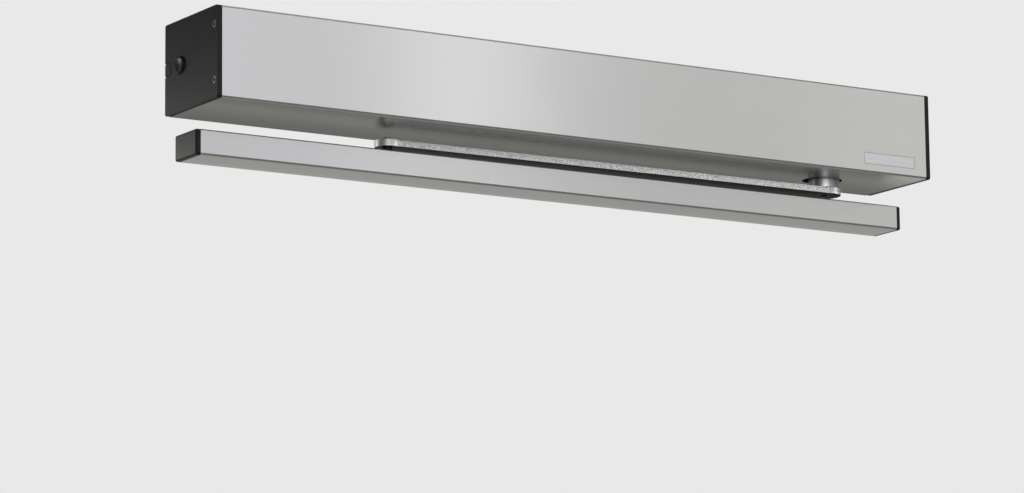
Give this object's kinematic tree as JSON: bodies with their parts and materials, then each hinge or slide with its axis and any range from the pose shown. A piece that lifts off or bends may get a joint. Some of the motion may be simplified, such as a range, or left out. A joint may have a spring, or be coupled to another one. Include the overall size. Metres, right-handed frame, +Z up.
{
  "type": "swing door operator",
  "caption": "Slim powered swing door operator: aluminium box with black ends, light slot and push button, a swinging arm under it, and a slide rail for the door leaf.",
  "frame": {"origin": "centre of the mounting plate's back face, on the wall", "axes": "+X along the box to the right as seen from the room, +Y into the wall, +Z up"},
  "size_m": [0.5664, 0.071, 0.0911],
  "materials": {
    "cover": "fine satin anodised extrusion",
    "end_plates": "moulded, fine texture",
    "screws": "bright zinc plated",
    "zinc_steel": "zinc plated sheet",
    "grommet": "matt",
    "button": "satin moulding",
    "black_moulding": "matt moulding",
    "die_cast": "die cast, as cast",
    "bearing_steel": "ground",
    "machined_steel": "turned",
    "sintered_steel": "sintered, oiled",
    "motor_can": "black coated",
    "winding_core": "lacquered laminations",
    "hub_metal": "turned and polished",
    "arm_cast": "cast, silver coat with a fine grain",
    "bronze": "sintered bronze",
    "slide_nylon": "black nylon",
    "spring_steel": "blackened",
    "rail_profile": "anodised extrusion",
    "rail_trim": "satin anodised",
    "rail_caps": "moulded, fine texture",
    "circuit_board": "solder mask",
    "terminal_green": "moulded",
    "black_metal": "black anodised",
    "supply_case": "moulded case",
    "lens": "frosted",
    "diodes": "phosphor"
  },
  "bodies": {
    "operator": {"cover": "cover", "end_plate_left": "end_plates", "end_plate_right": "end_plates", "end_plate_screws": "screws", "mounting_plate": "zinc_steel", "cable_grommet": "grommet", "button_switch": "black_moulding", "gearbox_pan": "die_cast", "gearbox_lid": "die_cast", "gearbox_screws": "screws", "lower_bearing": "bearing_steel", "upper_bearing": "bearing_steel", "gear_axles": "machined_steel", "motor_can": "motor_can", "motor_stator": "winding_core", "board_carrier": "black_moulding", "control_board": "circuit_board", "terminal_blocks": "terminal_green", "board_parts": "black_moulding", "heat_sink": "black_metal", "power_supply": "supply_case", "light_lens": "lens", "light_board": "circuit_board", "light_diodes": "diodes"},
    "button": {"push_button": "button"},
    "arm": {"output_shaft": "machined_steel", "output_gear": "sintered_steel", "hub_sleeve": "hub_metal", "arm": "arm_cast", "arm_screw": "screws", "arm_bush": "bronze"},
    "slider": {"slider_block": "slide_nylon", "slider_pin": "machined_steel", "slider_clip": "spring_steel"},
    "rail": {"rail_channel": "rail_profile", "rail_trim": "rail_trim", "rail_cap_left": "rail_caps", "rail_cap_right": "rail_caps", "stop_block": "zinc_steel", "stop_buffer": "grommet", "stop_screw": "screws"},
    "second_gear": {"second_gear": "sintered_steel"},
    "first_gear": {"first_gear": "sintered_steel"},
    "rotor": {"motor_rotor": "machined_steel"}
  },
  "joints": [
    {"name": "button_press", "type": "slide", "parent": "operator", "child": "button", "axis": [1, 0, 0], "range_m": [0, 0.0015], "stiffness_N_per_m": 400, "springref_m": -0.001},
    {"name": "arm_swing", "type": "hinge", "parent": "operator", "child": "arm", "pos_m": [0.22, -0.0304, 0], "axis": [0, 0, 1], "range_deg": [0, 120]},
    {"name": "slider_pivot", "type": "hinge", "parent": "arm", "child": "slider", "pos_m": [-0.13329, -0.0285, -0.045], "axis": [0, 0, 1], "range_deg": [-60, 60]},
    {"name": "rail_slide", "type": "slide", "parent": "slider", "child": "rail", "axis": [1, 0, 0], "range_m": [-0.095, 0.127]},
    {"name": "second_gear_spin", "type": "hinge", "parent": "operator", "child": "second_gear", "pos_m": [0.1885, -0.0304, 0], "axis": [0, 0, 1], "range_deg": [-310, 10]},
    {"name": "first_gear_spin", "type": "hinge", "parent": "operator", "child": "first_gear", "pos_m": [0.1615, -0.0304, 0], "axis": [0, 0, 1], "range_deg": [-30, 1080]},
    {"name": "rotor_spin", "type": "hinge", "parent": "operator", "child": "rotor", "pos_m": [0.1347, -0.0304, 0], "axis": [0, 0, 1], "range_deg": [-4900, 100]}
  ],
  "couplings": [
    {"joint": "second_gear_spin", "follows": "arm_swing", "ratio": -2.5},
    {"joint": "first_gear_spin", "follows": "arm_swing", "ratio": 8.75},
    {"joint": "rotor_spin", "follows": "arm_swing", "ratio": -40.104}
  ]
}
